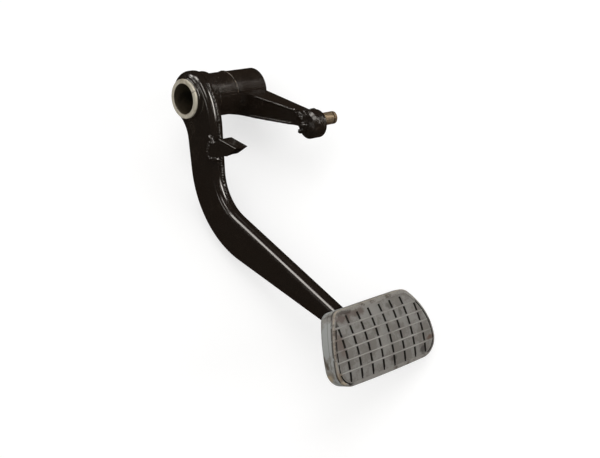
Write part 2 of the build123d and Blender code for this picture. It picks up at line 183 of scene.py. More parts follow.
# %% [markdown]
# An effect that more than one finish needs is a shader group: a small tree with named inputs,
# built once and placed wherever it is wanted with other values.

# %% A new shader group
FLOAT, COLOUR, VECTOR = "NodeSocketFloat", "NodeSocketColor", "NodeSocketVector"


def new_group(name, inputs, outputs):
    """An empty shader group with named sockets, and the wiring to fill it."""
    tree = bpy.data.node_groups.new(name, "ShaderNodeTree")
    for label, kind, value in inputs:
        socket = tree.interface.new_socket(name=label, in_out="INPUT", socket_type=kind)
        socket.default_value = value
    for label, kind in outputs:
        tree.interface.new_socket(name=label, in_out="OUTPUT", socket_type=kind)
    wire = Wiring(tree)
    start = wire.add("NodeGroupInput").outputs
    end = wire.add("NodeGroupOutput").inputs
    return wire, start, end


print("socket kinds for a group:", FLOAT, COLOUR, VECTOR)

# %% [markdown]
# Every finish on this pedal has a fine grain: the paint has orange peel, the steel has rust
# bloom and the rubber has mould texture. They differ only in scale and depth, so one group
# makes them all. Its outputs vary over the surface and feed roughness and bump.

# %% Shared group: grain
wire, start, end = new_group(
    "surface grain",
    [("Grain Scale", FLOAT, 1500.0), ("Cloud Scale", FLOAT, 120.0),
     ("Low Roughness", FLOAT, 0.3), ("High Roughness", FLOAT, 0.5)],
    [("Grain", FLOAT), ("Cloud", FLOAT), ("Roughness", FLOAT)])
fine_share = 0.35
here = wire.place()
grain = wire.noise(here, start["Grain Scale"], 4.0, 0.6)
cloud = wire.noise(here, start["Cloud Scale"], 5.0, 0.62)
blend = wire.math("ADD", wire.product(grain, fine_share), wire.product(cloud, 1.0 - fine_share))
wire.feed(grain, end["Grain"])
wire.feed(cloud, end["Cloud"])
wire.feed(wire.step(blend, 0.32, 0.68, start["Low Roughness"], start["High Roughness"]),
          end["Roughness"])
grain_group = wire.tree
print("group:", grain_group.name)

# %% [markdown]
# Dust and stains lie in soft patches with ragged edges. The group takes the clean colour and
# gives it back with the patches laid over it, and hands out their mask so that a material can
# also dull its gloss there.

# %% Shared group: patches of dust or stain
wire, start, end = new_group(
    "ragged patches",
    [("Clean", COLOUR, (0.1, 0.1, 0.1, 1.0)), ("Patch", COLOUR, (0.3, 0.28, 0.25, 1.0)),
     ("Scale", FLOAT, 60.0), ("Threshold", FLOAT, 0.55), ("Strength", FLOAT, 0.5)],
    [("Colour", COLOUR), ("Mask", FLOAT)])
fleck_share = 0.2
fleck_ratio = 9.0
edge_softness = 0.1
here = wire.place()
coarse = wire.noise(here, start["Scale"], 6.0, 0.66)
fleck = wire.noise(here, wire.product(start["Scale"], fleck_ratio), 3.0, 0.6)
both = wire.math("ADD", wire.product(coarse, 1.0 - fleck_share), wire.product(fleck, fleck_share))
full_at = wire.math("ADD", start["Threshold"], edge_softness)
mask = wire.product(wire.step(both, start["Threshold"], full_at), start["Strength"])
wire.feed(wire.mix(mask, start["Clean"], start["Patch"]), end["Colour"])
wire.feed(mask, end["Mask"])
patch_group = wire.tree
print("group:", patch_group.name)

# %% [markdown]
# A stain that sits in one place, such as the brown mark at the pad's lower corner, is a soft
# ball in space with an edge broken by noise. Cutting it out of the object's own coordinates
# keeps it still from every side.

# %% Shared group: one smudge
wire, start, end = new_group(
    "single smudge",
    [("Centre", VECTOR, (0.0, 0.0, 0.0)), ("Reach", VECTOR, (0.01, 0.01, 0.01)),
     ("Raggedness", FLOAT, 0.5), ("Strength", FLOAT, 0.5)],
    [("Mask", FLOAT)])
solid_core = 0.35
ragged_swing = 3.0
here = wire.place()
offset = wire.vector("SUBTRACT", here, start["Centre"]).outputs[0]
scaled = wire.vector("DIVIDE", offset, start["Reach"]).outputs[0]
length = wire.vector("LENGTH", scaled).outputs["Value"]
ragged = wire.math("SUBTRACT", wire.noise(here, 260.0, 5.0, 0.65), 0.5)
distance = wire.math("ADD", length, wire.product(ragged, ragged_swing, start["Raggedness"]))
wire.feed(wire.product(wire.step(distance, 1.0, solid_core), start["Strength"]), end["Mask"])
smudge_group = wire.tree
print("group:", smudge_group.name)

# %% [markdown]
# Handling leaves hairline scratches in paint and steel. Noise, cut to the thin lines where it
# crosses its middle value, gives lines that start, wander and stop.

# %% Shared group: hairline scratches
wire, start, end = new_group(
    "hairline scratches",
    [("Stretch", VECTOR, (1.0, 1.0, 1.0)), ("Scale", FLOAT, 300.0), ("Amount", FLOAT, 0.4)],
    [("Mask", FLOAT)])
line_softness = 0.006
stretched = wire.vector("MULTIPLY", wire.place(), start["Stretch"]).outputs[0]
lines = wire.noise(stretched, start["Scale"], 2.0, 0.5)
from_middle = wire.math("ABSOLUTE", wire.math("SUBTRACT", lines, 0.5))
thin = wire.step(from_middle, line_softness, 0.0)
where = wire.step(wire.noise(wire.place(), 70.0, 3.0, 0.6), 0.5, 0.62)
wire.feed(wire.product(thin, where, start["Amount"]), end["Mask"])
scratch_group = wire.tree
print("group:", scratch_group.name)

# %% [markdown]
# The last helpers place a group in a material and close a material with its shader. Constants
# such as coat roughness go straight to the shader's own sockets, because the export keeps them
# only there.

# %% Helpers that place a group and finish a material
def use(wire, group, **values):
    """A group in a material, with its own values."""
    node = wire.add("ShaderNodeGroup", node_tree=group)
    for label, value in values.items():
        wire.feed(value, node.inputs[label.replace("_", " ")])
    return node.outputs


def new_material(name):
    material = bpy.data.materials.new(name)
    material.use_nodes = True
    material.node_tree.nodes.clear()
    return material, Wiring(material.node_tree)


def finish_material(wire, colour, roughness, height, bump, distance, **constants):
    """The Principled shader at the end of a material, with a bump from height."""
    bumped = wire.add("ShaderNodeBump", {"Strength": bump, "Distance": distance, "Height": height})
    shader = wire.add("ShaderNodeBsdfPrincipled", {
        "Base Color": colour, "Roughness": roughness, "Normal": bumped.outputs[0]})
    for label, value in constants.items():
        wire.feed(value, shader.inputs[label.replace("_", " ")])
    output = wire.add("ShaderNodeOutputMaterial")
    wire.feed(shader.outputs[0], output.inputs["Surface"])


print("helpers ready: use, new_material, finish_material")

# %% [markdown]
# The arm and lever carry one coat of glossy black paint over pressed steel. It isn't quite
# black: it is a warm brown-black, with a little orange peel that breaks up the reflections.
# Dust and fine scratches show on it. A function makes the paint, because the part needs it in several
# versions, some of them with a pale line painted round the tube.

# %% Black paint
paint_black = linear(30, 24, 19)
paint_dust = linear(92, 80, 66)
paint_scratch = linear(120, 108, 92)
paint_pale_line = linear(96, 84, 70)
paint_bump = 0.2 * MM


def pale_line(wire, line_at):
    """A mask for a thin broken line round the tube."""
    away = wire.math("ABSOLUTE", wire.math("SUBTRACT", wire.place_xyz()["X"], line_at))
    line = wire.step(away, 0.32 * MM, 0.1 * MM)
    return wire.product(line, wire.step(wire.noise(wire.place(), 420.0), 0.38, 0.56))


def black_paint(name, peel, low, high, dust, lumps=0.0, cloud=90.0, line_at=None):
    """Peel is the strength of the bump, low and high are the roughness's two ends."""
    material, wire = new_material(name)
    grain = use(wire, grain_group, Grain_Scale=900.0, Cloud_Scale=cloud,
                Low_Roughness=low, High_Roughness=high)
    dusty = use(wire, patch_group, Clean=paint_black, Patch=paint_dust,
                Scale=55.0, Threshold=0.56, Strength=dust)
    scratch = use(wire, scratch_group, Stretch=(1.0, 0.35, 0.35), Scale=260.0, Amount=0.14)
    colour = wire.mix(scratch["Mask"], dusty["Colour"], paint_scratch)
    if line_at is not None:
        # A pale, thin broken line painted round the tube; on the wrap weld it is a painted highlight.
        colour = wire.mix(pale_line(wire, line_at), colour, paint_pale_line)
    dull = wire.math("ADD", grain["Roughness"], wire.product(dusty["Mask"], 0.35))
    height = wire.math("SUBTRACT", grain["Grain"], wire.product(scratch["Mask"], 0.6))
    height = wire.math("ADD", height, wire.product(grain["Cloud"], lumps))
    finish_material(wire, colour, dull, height, peel, paint_bump,
                    Coat_Weight=0.35, Coat_Roughness=0.08, Specular_IOR_Level=0.5)
    return material


print("paint in linear values:", [round(v, 4) for v in paint_black[:3]])

# %% [markdown]
# The arm's paint is smooth and tight. Over the weld beads it is thicker and less even, so the
# welds get the same paint with a stronger texture, and on the boss it has set in soft lumps.
# Two welds round the tube get a pale, thin broken line, at a place along X that their paint is given.
# On the wrap weld that line is a painted highlight.

# %% Paint for arm, welds and boss
ring_line_x = 10.9 * MM
wrap_line_x = 26.6 * MM
arm_paint = black_paint("black paint", 0.07, 0.14, 0.26, 0.08)
weld_paint = black_paint("black paint on welds", 0.3, 0.1, 0.24, 0.12)
boss_paint = black_paint("thick black paint on the boss", 0.5, 0.1, 0.24, 0.2, lumps=6.0, cloud=260.0)
ring_paint = black_paint("black paint with a pale line on the ring weld", 0.3, 0.1, 0.24, 0.12, line_at=ring_line_x)
# The pale line on the wrap weld is a painted highlight.
wrap_paint = black_paint("black paint with a painted highlight line on the wrap weld", 0.3, 0.1, 0.24, 0.12, line_at=wrap_line_x)
for paint in (arm_paint, weld_paint, boss_paint, ring_paint, wrap_paint):
    print("paint:", paint.name)

# %% [markdown]
# The tube is black where it sits in the painted arm, but its left end was left bare and has gone a
# pale, chalky beige. Inside, the bore is painted a patchy dark brown, darker than the bare end, as
# painted shade. Position along X decides where the paint stops, and distance from the axis tells the
# bore from the outside.

# %% Bare steel of the tube
bore_radius = 10.0 * MM
paint_ends_x = -7.0 * MM
tube_steel, wire = new_material("bare tube steel")
point = wire.place_xyz()
radius = wire.hypot(point["Y"], point["Z"])
in_bore = wire.step(radius, bore_radius + 0.6 * MM, bore_radius + 0.1 * MM)
left_end = wire.step(point["X"], paint_ends_x, paint_ends_x - 0.6 * MM)
unpainted = wire.math("MAXIMUM", left_end, in_bore)
grain = use(wire, grain_group, Grain_Scale=1400.0, Cloud_Scale=160.0,
            Low_Roughness=0.38, High_Roughness=0.6)
beige = use(wire, patch_group, Clean=linear(198, 191, 175), Patch=linear(150, 136, 110),
            Scale=210.0, Threshold=0.52, Strength=0.6)
# Painted shade: the bore is painted a patchy dark brown.
bore_shade_patches = use(wire, patch_group, Clean=linear(66, 58, 45), Patch=linear(30, 24, 18),
           Scale=120.0, Threshold=0.48, Strength=0.7)
bare = wire.mix(in_bore, beige["Colour"], bore_shade_patches["Colour"])
colour = wire.mix(unpainted, paint_black, bare)
finish_material(wire, colour, grain["Roughness"], grain["Grain"], 0.25, 0.1 * MM,
                Metallic=wire.product(unpainted, 0.2))
print("tube steel:", len(wire.tree.nodes), "nodes")

# %% [markdown]
# The pin is bare too, but browner: a turned pin with a film of storage rust. Fine rings left by the
# lathe run round it, so its scratches are stretched across its length. The clip's groove near its free
# end is painted almost black, as painted shade.

# %% Brown steel of the pin
pin_low, pin_high = (Vector(corner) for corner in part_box("pushrod_pin"))
pin_middle = (pin_low + pin_high) / 2
pin_radius = 4.25 * MM
pin_steel, wire = new_material("browned pin steel")
grain = use(wire, grain_group, Grain_Scale=1800.0, Cloud_Scale=240.0,
            Low_Roughness=0.32, High_Roughness=0.55)
rusty = use(wire, patch_group, Clean=linear(142, 124, 100), Patch=linear(86, 62, 42),
            Scale=190.0, Threshold=0.5, Strength=0.8)
rings = use(wire, scratch_group, Stretch=(6.0, 0.15, 0.15), Scale=420.0, Amount=0.6)
colour = wire.mix(rings["Mask"], rusty["Colour"], linear(188, 172, 146))
point = wire.place_xyz()
radius = wire.hypot(wire.math("SUBTRACT", point["Y"], pin_middle.y),
                    wire.math("SUBTRACT", point["Z"], pin_middle.z))
below_surface = wire.step(radius, pin_radius - 0.1 * MM, pin_radius - 0.3 * MM)
before_end = wire.step(point["X"], pin_high.x - 0.4 * MM, pin_high.x - 0.9 * MM)
# Painted shade: the clip's groove is painted almost black.
colour = wire.mix(wire.product(below_surface, before_end, 0.9), colour, linear(38, 28, 20))
height = wire.math("ADD", grain["Grain"], rings["Mask"])
finish_material(wire, colour, grain["Roughness"], height, 0.3, 0.1 * MM, Metallic=0.6)
print("pin steel:", len(wire.tree.nodes), "nodes")

# %% [markdown]
# The pad is moulded in matt grey rubber. Its parts are all one solid, so the material has to
# work out where a point lies on it: on a rib, in a slit, on the rim or on the side wall. The
# first step is to repeat the tread's own sizes: a straight top and foot, two sides that are
# arcs, four rounded corners, and a crown that bends the whole tread about one axis behind it.

# %% Sizes of the pad
pad_low, pad_high = (Vector(corner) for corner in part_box("pedal_rubber"))
pad_middle = (pad_low + pad_high) / 2
pad_front = pad_low.y
crown_radius = 71.4 * MM
side_radius = 46.6 * MM
side_shift = 4.0 * MM
side_centre = -10.0 * MM
top_edge = 22.3 * MM
top_corner = 8.5 * MM
foot_edge = 22.3 * MM
foot_corner = 12.0 * MM
rib_pitch = 6.34 * MM
rib_height = 0.35 * MM
slit_pitch = 9.34 * MM


def corner_at(height, radius):
    """How far out the centre of a rounded corner lies."""
    return sqrt((side_radius - radius) ** 2 - (height - side_centre) ** 2) - side_shift


top_corner_z = top_edge - top_corner
top_corner_x = corner_at(top_corner_z, top_corner)
foot_corner_z = foot_corner - foot_edge
foot_corner_x = corner_at(foot_corner_z, foot_corner)
print("pad in mm:", [round(v / MM, 1) for v in pad_high - pad_low])

# %% [markdown]
# Next come the point's own measures. The tread is the same on both sides, so the distance
# across is taken without its sign. The depth is how far the point lies behind the crown's
# surface, measured towards the axis that the crown bends about.

# %% Where a point lies on the pad
pad_rubber, wire = new_material("grey pad rubber")
point = wire.place_xyz()
across = wire.math("ABSOLUTE", point["X"])
height = wire.math("SUBTRACT", point["Z"], pad_middle.z)
from_axis = wire.hypot(wire.math("SUBTRACT", point["Y"], pad_front + crown_radius), height)
depth = wire.math("SUBTRACT", crown_radius, from_axis)
print("crown axis behind the pad's front:", round(crown_radius / MM, 1), "mm")

# %% [markdown]
# One mask does most of the work: it is one inside the tread's outline, drawn in by any inset.
# It is the product of four masks, one for the side arcs, one for the top and two for the
# rounded corners. A top corner counts only in the wedge that its arc spans, because elsewhere
# the side or the top is the edge. The wedge lies between the upright line through the corner's
# centre and the line that runs there from the centre of the side's arc.

# %% Inside the tread's outline
def beyond(value, limit):
    return wire.math("MAXIMUM", wire.math("SUBTRACT", value, limit), 0.0)


above_arc = wire.product(wire.math("SUBTRACT", height, side_centre), top_corner_x + side_shift)
beside_arc = wire.product(wire.math("ADD", across, side_shift), top_corner_z - side_centre)
in_wedge = wire.product(
    wire.math("GREATER_THAN", wire.math("SUBTRACT", above_arc, beside_arc), 0.0),
    wire.math("GREATER_THAN", across, top_corner_x))
soft_edge = 0.2 * MM


def inside_rim(inset):
    """One inside the tread's own outline less an inset, nothing outside it."""
    def within(distance, limit):
        return wire.step(distance, limit - inset, limit - inset - soft_edge)

    from_side_centre = wire.hypot(wire.math("ADD", across, side_shift),
                                  wire.math("SUBTRACT", height, side_centre))
    from_top_corner = wire.hypot(wire.math("SUBTRACT", across, top_corner_x),
                                 wire.math("SUBTRACT", height, top_corner_z))
    from_foot_corner = wire.hypot(beyond(across, foot_corner_x),
                                  beyond(wire.product(height, -1.0), -foot_corner_z))
    in_top_corner = wire.math("MAXIMUM", within(from_top_corner, top_corner), wire.outside(in_wedge))
    return wire.product(within(from_side_centre, side_radius), within(height, top_edge),
                        in_top_corner, within(from_foot_corner, foot_corner))


def between_outlines(outer, inner):
    """A band along the outline, from one inset to another."""
    return wire.math("SUBTRACT", inside_rim(outer), inside_rim(inner))


tread_inset = 1.3 * MM
inside = inside_rim(tread_inset)
print("top corner's centre in mm:", round(top_corner_x / MM, 1), round(top_corner_z / MM, 1))

# %% [markdown]
# Ribs, rim and wall follow from the measures. Five ribs cross the tread at even steps, so a ping-pong
# of the height gives the distance to the nearest one. The rim lies near the front and outside the
# field of ribs, the side wall lies deeper, and a fine dark line runs along the wall as painted shade
# of a shallow crease there.

# %% Masks for ribs, rim and side wall
rows_reach = 2.4 * rib_pitch
rim_width = 2.5 * MM
crease_depth = 4.8 * MM
row = wire.math("PINGPONG", height, rib_pitch)
from_rib = wire.math("MINIMUM", row, wire.math("SUBTRACT", rib_pitch, row))
on_a_row = wire.math("LESS_THAN", wire.math("ABSOLUTE", height), rows_reach)
on_rib = wire.product(wire.step(from_rib, 0.42 * MM, 0.18 * MM), inside, on_a_row)
on_rim = wire.product(wire.outside(inside_rim(rim_width)), wire.step(depth, 1.4 * MM, 0.9 * MM))
side_wall = wire.product(wire.step(depth, 1.6 * MM, 2.2 * MM), wire.outside(inside))
from_crease = wire.math("ABSOLUTE", wire.math("SUBTRACT", depth, crease_depth))
crease_shade = wire.product(wire.step(from_crease, 0.3 * MM, 0.1 * MM), side_wall)
print("rib pitch:", round(rib_pitch / MM, 2), "mm")

# %% [markdown]
# Now the colours are laid on from the bottom up. The tiles are mottled, the ribs are painted lighter,
# more in some places than others and less near the top, as a painted highlight along them, the rim is
# grimy, and the side wall is paler than the tread.

# %% Colours of tread, rim and wall
grain = use(wire, grain_group, Grain_Scale=1100.0, Cloud_Scale=130.0,
            Low_Roughness=0.62, High_Roughness=0.82)
tiles = use(wire, patch_group, Clean=linear(115, 113, 109), Patch=linear(94, 90, 85),
            Scale=95.0, Threshold=0.44, Strength=0.8)
rim = use(wire, patch_group, Clean=linear(122, 119, 114), Patch=linear(66, 58, 50),
          Scale=120.0, Threshold=0.5, Strength=0.8)
wall = use(wire, patch_group, Clean=linear(154, 156, 154), Patch=linear(118, 112, 104),
           Scale=70.0, Threshold=0.5, Strength=0.6)
scuffed = use(wire, scratch_group, Stretch=(1.0, 0.4, 0.5), Scale=210.0, Amount=0.45)
rib_highlight_amount = wire.step(wire.noise(wire.place(), 55.0), 0.36, 0.6, 0.3, 1.0)
less_at_top = wire.step(height, 10 * MM, 14 * MM, 1.0, 0.4)
# Painted highlight: the ribs are painted lighter.
colour = wire.mix(wire.product(on_rib, rib_highlight_amount, less_at_top), tiles["Colour"], linear(142, 140, 135))
colour = wire.mix(on_rim, colour, rim["Colour"])
colour = wire.mix(side_wall, colour, wall["Colour"])
# Painted shade: a fine dark line along the side wall.
colour = wire.mix(wire.product(crease_shade, 0.55), colour, linear(84, 80, 76))
colour = wire.mix(scuffed["Mask"], colour, linear(70, 66, 61))
print("rubber so far:", len(wire.tree.nodes), "nodes")

# %% [markdown]
# Single marks are placed where the photograph shows them: reddish-brown tiles and a dark stain at the
# top left, dark scuffs over the tread, a rust-coloured one at the right edge, and brown dirt low on
# the left side wall. Each row gives a place, a reach along each axis, a strength and a colour. Places
# and reaches are in millimetres.

# %% Single marks on the rubber
def on_pad(right, up):
    """A point on the tread, from millimetres right of and above the pad's middle."""
    back = crown_radius - sqrt(crown_radius ** 2 - (up * MM) ** 2)
    return (right * MM, pad_front + back, pad_middle.z + up * MM)


def on_wall(right, behind, up):
    """A point on the side wall, its depth given from the pad's front."""
    return (right * MM, pad_front + behind * MM, pad_middle.z + up * MM)


marks = [
    (on_pad(-14.7, 18), (9, 20, 3), 0.7, (70, 58, 52)),
    (on_pad(-27, 17), (8, 20, 3.5), 0.75, (74, 60, 54)),
    (on_pad(-25, 20), (10, 20, 2), 0.8, (50, 42, 38)),
    (on_pad(-35, 4), (4, 20, 10), 0.5, (84, 68, 60)),
    (on_pad(18.9, 9.5), (2.5, 20, 4), 0.55, (54, 50, 46)),
    (on_pad(12.4, 15.5), (4, 20, 2.5), 0.6, (56, 52, 48)),
    (on_pad(3.9, -15.1), (4, 20, 1.8), 0.65, (52, 48, 45)),
    (on_pad(30.3, -17.1), (3.5, 20, 3.5), 0.8, (48, 44, 42)),
    (on_pad(38.1, -11.3), (4.5, 20, 2), 0.8, (74, 52, 40)),
    (on_pad(-41.5, -15.1), (3, 4, 6), 0.7, (96, 80, 60)),
    (on_pad(-39.2, -18.3), (3, 4, 2), 0.8, (160, 148, 126)),
    (on_wall(-42.4, 9.4, -2.6), (3, 1.4, 4), 0.85, (84, 74, 62)),
    (on_wall(-42.8, 8.0, -6.4), (3, 1.6, 3.6), 0.85, (76, 66, 56)),
    (on_wall(-42.3, 8.5, -12.7), (4, 5, 5), 0.5, (112, 98, 80)),
    (on_wall(-41.8, 10.4, -14.5), (4, 4, 4), 0.8, (168, 152, 126)),
]
for centre, reach, strength, tint in marks:
    mark = use(wire, smudge_group, Centre=centre, Reach=tuple(r * MM for r in reach),
               Raggedness=0.6, Strength=strength)
    colour = wire.mix(mark["Mask"], colour, linear(*tint))
print("rubber marks:", len(marks))

# %% [markdown]
# The tread's edge shows as two painted lines: a painted shadow just behind the rim, all the way round,
# and a painted highlight on the rim itself, at the top and the left. Noise breaks both.

# %% Lines along the tread's edge
broken = wire.step(wire.noise(wire.place(), 260.0, 4.0), 0.34, 0.5)
highlight_side = wire.step(point["X"], -20 * MM, -34 * MM)
highlight_top = wire.step(height, 12 * MM, 18 * MM)
edge_shadow_depth = 2.0 * MM
from_edge_shadow = wire.math("ABSOLUTE", wire.math("SUBTRACT", depth, edge_shadow_depth))
painted_edge_shadow = wire.product(wire.step(from_edge_shadow, 0.6 * MM, 0.35 * MM), wire.outside(inside_rim(0.3 * MM)))
painted_edge_highlight = wire.product(between_outlines(-0.4 * MM, 0.4 * MM), wire.step(depth, 1.3 * MM, 0.9 * MM),
                         wire.math("MAXIMUM", highlight_side, highlight_top))
# Painted shadow behind the rim and painted highlight on it.
colour = wire.mix(wire.product(painted_edge_shadow, broken, 0.8), colour, linear(52, 43, 37))
colour = wire.mix(wire.product(painted_edge_highlight, broken, 0.5), colour, linear(166, 154, 138))
print("rubber so far:", len(wire.tree.nodes), "nodes")

# %% [markdown]
# Painted shade comes last, because it covers the rest. Inside the rim everything below the tread's
# surface is painted near black as shade, and the shade is widened a little past the slits' edges and
# past the groove at the left rim, but not over the ribs. The slits stand in eight columns, and the one
# at the far right stops lower than the others.

# %% Painted shade in slits and grooves
in_recess = wire.product(wire.step(depth, rib_height + 0.1 * MM, rib_height + 0.3 * MM), inside)
between_ribs = wire.step(from_rib, 0.5 * MM, 0.75 * MM)
left_groove = wire.product(
    between_outlines(1.1 * MM, 2.4 * MM), wire.step(point["X"], -30 * MM, -34 * MM),
    wire.step(height, 17.5 * MM, 16.5 * MM))
from_slit = wire.math("SUBTRACT", slit_pitch / 2, wire.math("PINGPONG", across, slit_pitch / 2))
past_short_slit = wire.product(wire.math("GREATER_THAN", point["X"], 28 * MM),
                               wire.math("GREATER_THAN", height, 12 * MM))
slit_edge = wire.product(
    wire.step(from_slit, 0.95 * MM, 0.75 * MM), inside_rim(2.8 * MM),
    wire.step(height, 18.4 * MM, 18.1 * MM), wire.outside(past_short_slit))
widened_shade = wire.product(wire.math("MAXIMUM", left_groove, slit_edge), between_ribs)
recess_shade = wire.math("MAXIMUM", in_recess, widened_shade)
# Painted shade: slits, grooves and their widened edges are painted near black.
colour = wire.mix(wire.product(recess_shade, 0.96), colour, linear(26, 22, 19))
finish_material(wire, colour, grain["Roughness"], grain["Grain"], 0.3, 0.15 * MM,
                Specular_IOR_Level=0.4)
print("rubber:", len(wire.tree.nodes), "nodes")

# %% [markdown]
# CAD nodes whose shape is right stay as they are and only take a finish. The assignment goes
# to the object's own slots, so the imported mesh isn't touched.

# %% Dress the CAD nodes
finishes = {
    "pivot_tube": tube_steel, "pushrod_pin": pin_steel, "pedal_rubber": pad_rubber,
    "arm_left_shell": arm_paint, "arm_right_shell": arm_paint,
    "lever_left_shell": arm_paint, "lever_right_shell": arm_paint,
    "lever_boss": boss_paint, "stop_bracket": arm_paint, "foot_plate": arm_paint,
}
for name, finish in finishes.items():
    for slot in nodes[name].material_slots:
        slot.link = "OBJECT"
        slot.material = finish
print("nodes with a finish:", len(finishes))

# %% [markdown]
# A weld bead is a row of frozen puddles, each lapping over the last like fish scales. The CAD
# bead is a smooth bar. Here its mesh is copied, rebuilt with small even faces, and each point
# is pushed out or in along its normal: a saw-tooth along the run of the bead makes the scales,
# and noise makes them uneven.

# %% A rippled weld bead
wobble_scale = 420
uneven_scale = 900


def rippled(name, run, pitch, depth, seed, voxel=0.32, swell=0.0, finish=weld_paint):
    """A rippled copy of a CAD bead, sizes in mm. run(point) is the way gone along the bead."""
    piece = bpy.data.objects.new(name + "_rippled", nodes[name].data.copy())
    scene.collection.objects.link(piece)
    remesh = piece.modifiers.new("even faces", "REMESH")
    remesh.mode = "VOXEL"
    remesh.voxel_size = voxel * MM
    ready = piece.evaluated_get(bpy.context.evaluated_depsgraph_get())
    mesh = bpy.data.meshes.new_from_object(ready)
    piece.modifiers.clear()
    piece.data = mesh
    normals = [v.normal.copy() for v in mesh.vertices]
    for vertex, normal in zip(mesh.vertices, normals):
        point = vertex.co
        wobble = noise.noise(point * wobble_scale + Vector((seed, 0, 0)))
        travel = run(point) / (pitch * MM) + 0.35 * wobble
        scale = (travel % 1.0) ** 0.7 - 0.5
        uneven = noise.noise(point * uneven_scale + Vector((0, seed, 0)))
        push = swell + depth * (scale + 0.7 * uneven + 0.5 * wobble)
        vertex.co = point + normal * (push * MM)
    for polygon in mesh.polygons:
        polygon.use_smooth = True
    mesh.materials.clear()
    mesh.materials.append(finish)
    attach(piece, "root")
    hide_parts(name)
    print(piece.name, "faces:", len(mesh.polygons))


print("noise swings per metre, coarse and fine:", wobble_scale, uneven_scale)

# %% [markdown]
# The scales have to follow each bead, so each bead has a rule for the distance gone along it.
# Most beads run round something, and the angle about its middle, times a radius, gives the
# distance. The seams down the arm and the lever are nearly straight, and one coordinate does,
# except where the arm's seam runs round the eye.

# %% How far along a bead a point lies
eye_radius = 18
eye_ends_z = -6 * MM
arm_end_z = -187 * MM


def around(middle_y, middle_z, radius):
    """The way round a middle in the side view, all in mm."""
    def run(point):
        return atan2(point.z - middle_z * MM, point.y - middle_y * MM) * radius * MM
    return run


def down_the_arm(point):
    if point.z > eye_ends_z:
        return atan2(point.z, -point.y) * eye_radius * MM
    return point.z


def down_the_lever(point):
    return -point.y


def round_the_arm_end(point):
    return atan2(point.z - arm_end_z, point.x) * 7 * MM


round_the_tube = around(0, 0, 15)
round_the_boss = around(-59.6, -40.4, 10)
round_the_tongue = around(-54.4, -37, 6)
round_the_flange = around(-12, -38, 8)
print("the seam down the arm is straight below", round(eye_ends_z / MM), "mm")

# %% [markdown]
# Each bead gets its own pitch and depth. The seams down the arm and the lever are fine and
# fairly even, while the short beads on the tongue and the bracket are coarse. Where a bead is
# fatter than its CAD bar in the photograph, it also swells a little. The finest voxels go to
# the front seam, which shows the most.

# %% Weld beads
rippled("arm_front_seam_weld", down_the_arm, 1.5, 0.42, 1, voxel=0.28)
rippled("arm_rear_seam_weld", down_the_arm, 1.7, 0.34, 2)
rippled("collar_ring_weld", round_the_tube, 2.0, 0.28, 3, finish=ring_paint)
rippled("lever_wrap_weld", round_the_tube, 1.6, 0.2, 4, finish=wrap_paint)
rippled("lever_top_seam_weld", down_the_lever, 1.8, 0.3, 5)
rippled("lever_bottom_seam_weld", down_the_lever, 1.8, 0.3, 6)
rippled("boss_weld", round_the_boss, 2.2, 0.3, 7)
rippled("tongue_weld", round_the_tongue, 3.4, 0.55, 11, swell=0.25)
rippled("bracket_left_weld", round_the_flange, 2.6, 0.6, 8, swell=0.3)
rippled("bracket_right_weld", round_the_flange, 2.4, 0.45, 9)
rippled("foot_plate_weld", round_the_arm_end, 2.2, 0.35, 10)

# %% [markdown]
# Hand welding leaves lumps where the arc started or stopped: three beside the boss, one where
# the lever flares and one above the stop bracket. Each is a ball pressed out of shape by noise.

# %% Weld lumps
def lump(name, centre, reach, seed):
    """A dented ball, its centre and its reach along each axis in mm."""
    bpy.ops.mesh.primitive_ico_sphere_add(subdivisions=4, radius=1.0)
    piece = bpy.context.object
    piece.name = name
    for vertex in piece.data.vertices:
        direction = vertex.co.normalized()
        dent = 1.0 + 0.45 * noise.noise(direction * 1.6 + Vector((seed, 0, 0)))
        vertex.co = Vector(centre) * MM + Vector(d * r * MM * dent for d, r in zip(direction, reach))
    for polygon in piece.data.polygons:
        polygon.use_smooth = True
    piece.data.materials.append(weld_paint)
    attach(piece, "root")
    print(piece.name, "faces:", len(piece.data.polygons))


lump("boss_lump_broad", (36.4, -58.6, -36.0), (2.0, 4.8, 4.8), 21)
lump("boss_lump_top", (35.6, -56.6, -33.0), (1.7, 3.2, 1.7), 22)
lump("boss_lump_low", (35.3, -57.6, -39.6), (1.6, 2.8, 1.7), 23)
lump("flare_lump", (28.4, -14.7, -2.8), (1.8, 1.0, 1.2), 25)
lump("bracket_lump", (-5.0, -12.4, -31.0), (1.4, 1.8, 2.4), 24)

# %% [markdown]
# The pedal lies on a table, touching it with the bend of the arm, the right end of the tube
# and one corner of the pad. A plane through those three points is the floor, sunk a little so
# that nothing cuts it.

# %% Floor
contacts = [Vector((2.4, 11.8, -97.2)) * MM, Vector((52.4, 12.1, -8.1)) * MM,
            Vector((41.7, -101.4, -197.6)) * MM]
floor_gap = 0.4 * MM
floor_half = 1.6
floor_normal = (contacts[1] - contacts[0]).cross(contacts[2] - contacts[0]).normalized()
if floor_normal.dot(to_camera) < 0:
    floor_normal = -floor_normal
floor_point = sum(contacts, Vector()) / 3 - floor_normal * floor_gap
floor_mesh = bpy.data.meshes.new("table")
turn = floor_normal.to_track_quat("Z", "Y")
corners = [turn @ Vector((x, y, 0)) * floor_half for x, y in ((-1, -1), (1, -1), (1, 1), (-1, 1))]
floor_mesh.from_pydata([floor_point + corner for corner in corners], [], [(0, 1, 2, 3)])
floor = bpy.data.objects.new("table", floor_mesh)
scene.collection.objects.link(floor)
print("floor normal:", [round(v, 3) for v in floor_normal])

# %% [markdown]
# The table is matt grey with some light of its own that only the camera sees, which makes it
# white but keeps the shadow. In the gloss of the paint it is dark, and it goes clear when seen
# from behind, so that views from below still show the part.

